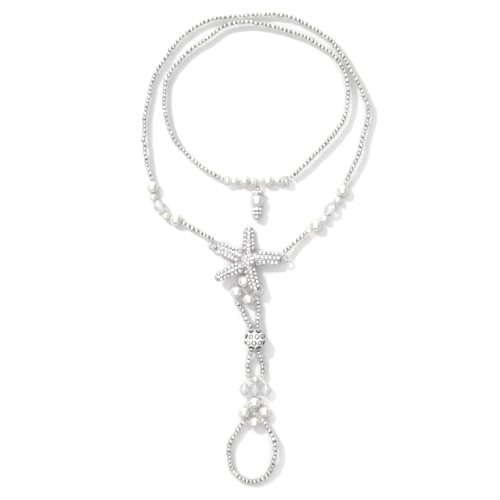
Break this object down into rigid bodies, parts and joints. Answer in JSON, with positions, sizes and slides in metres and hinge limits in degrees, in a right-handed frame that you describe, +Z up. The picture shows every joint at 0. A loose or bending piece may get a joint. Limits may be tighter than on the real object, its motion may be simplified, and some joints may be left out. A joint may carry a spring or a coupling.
{
  "type": "barefoot sandal jewel",
  "caption": "Beaded barefoot sandal: clear bead ankle loops, rhinestone starfish, imitation pearls, paved ball and a toe ring, laid flat.",
  "frame": {"origin": "centre of the bounding box on the surface that the jewel lies on", "axes": "+Y towards the heel end of the ankle loops, -Y towards the toe ring, +X to the right seen from above, +Z up from the surface"},
  "size_m": [0.098, 0.2024, 0.009],
  "materials": {
    "seed_glass": "clear seed beads",
    "thread": "clear elastic",
    "pearl": "pearlescent",
    "crystal_glass": "faceted, clear",
    "olive_glass": "faceted, pale olive",
    "rhinestone": "foil backed, faceted",
    "silver": "polished silver plate",
    "clay": "matte"
  },
  "bodies": {
    "root": {"inner_ankle_string": "seed_glass", "outer_ankle_string": "seed_glass", "left_link_string": "seed_glass", "right_link_string": "seed_glass", "upper_left_strand": "seed_glass", "upper_right_strand": "seed_glass", "lower_left_strand": "seed_glass", "lower_right_strand": "seed_glass", "toe_ring_string": "seed_glass", "front_thread": "thread", "left_thread": "thread", "right_thread": "thread", "instep_thread": "thread", "toe_thread": "thread", "front_rondelle_left": "crystal_glass", "front_pearl_small_left": "pearl", "front_pearl_left": "pearl", "front_bead_left": "seed_glass", "front_bead_right": "seed_glass", "front_pearl_right": "pearl", "front_pearl_small_right": "pearl", "front_rondelle_mid": "crystal_glass", "front_rondelle_right": "crystal_glass", "drop_ring": "silver", "drop_pin": "silver", "drop_cap": "silver", "drop_pearl": "pearl", "drop_spacer_upper": "silver", "drop_spacer_lower": "silver", "drop_end_bead": "silver", "left_pearl_outer": "pearl", "left_pearl_small_outer": "pearl", "left_crystal": "crystal_glass", "left_pearl_small_inner": "pearl", "left_pearl_inner": "pearl", "right_pearl_outer": "pearl", "right_pearl_small_outer": "pearl", "right_crystal": "crystal_glass", "right_pearl_small_inner": "pearl", "right_pearl_inner": "pearl", "right_rondelle": "olive_glass", "starfish": "silver", "starfish_stones": "rhinestone", "instep_pearl_left": "pearl", "instep_pearl_top": "pearl", "instep_pearl_right": "pearl", "instep_pearl_bottom": "pearl", "crystal_ball": "clay", "ball_stones": "rhinestone", "ball_bead": "pearl", "crystal_left": "crystal_glass", "crystal_middle": "crystal_glass", "crystal_right": "crystal_glass", "toe_pearl_left": "pearl", "toe_pearl_top": "pearl", "toe_pearl_right": "pearl", "toe_pearl_bottom": "pearl"}
  },
  "joints": []
}
